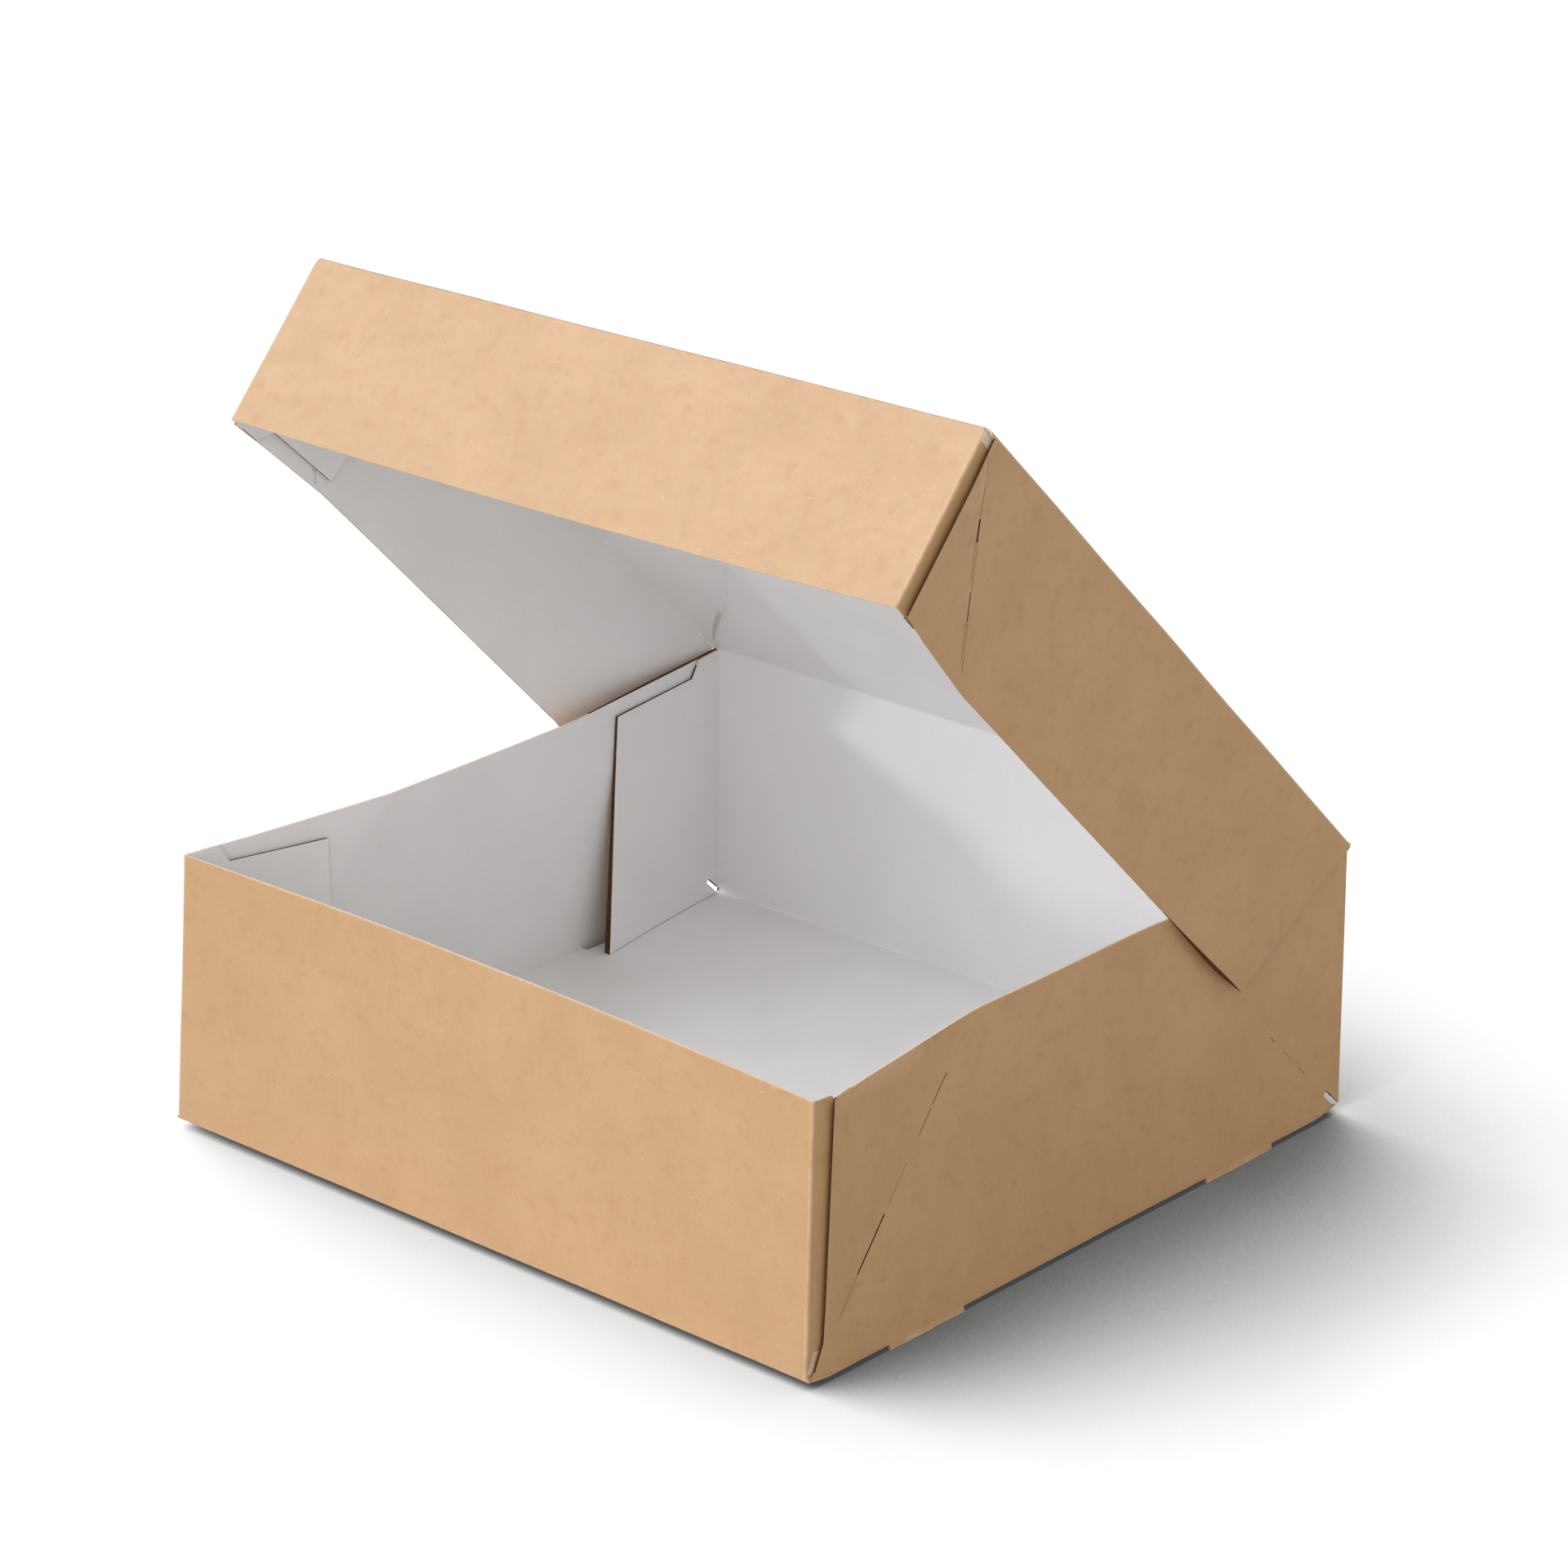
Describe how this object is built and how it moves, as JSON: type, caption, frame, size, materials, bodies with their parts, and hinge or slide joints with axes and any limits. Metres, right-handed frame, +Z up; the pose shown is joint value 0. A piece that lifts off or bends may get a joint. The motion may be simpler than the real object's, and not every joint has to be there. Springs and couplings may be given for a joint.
{
  "type": "hinged-lid takeaway box",
  "caption": "Square takeaway box folded from thin kraft board, standing with its hinged lid part open; slit leaning side walls, tongue feet and a pale grey lining.",
  "frame": {"origin": "on the table under the middle of the tray, at the level of the tongues' lower edges", "axes": "+Z up, +X to the right seen from the front, -Y towards the front wall that the lid opens from; the lid's crease runs along X at the back"},
  "size_m": [0.2098, 0.199, 0.2117],
  "materials": {
    "kraft_board": "matt kraft outside, pale grey lining inside",
    "kraft_board_lid": "matt kraft outside, pale grey lining inside"
  },
  "bodies": {
    "tray": {"tray": "kraft_board"},
    "lid": {"lid": "kraft_board_lid"}
  },
  "joints": [
    {"name": "lid_hinge", "type": "hinge", "parent": "tray", "child": "lid", "pos_m": [0, 0.09925, 0.07285], "axis": [-1, 0, 0], "range_deg": [-44, 136]}
  ]
}
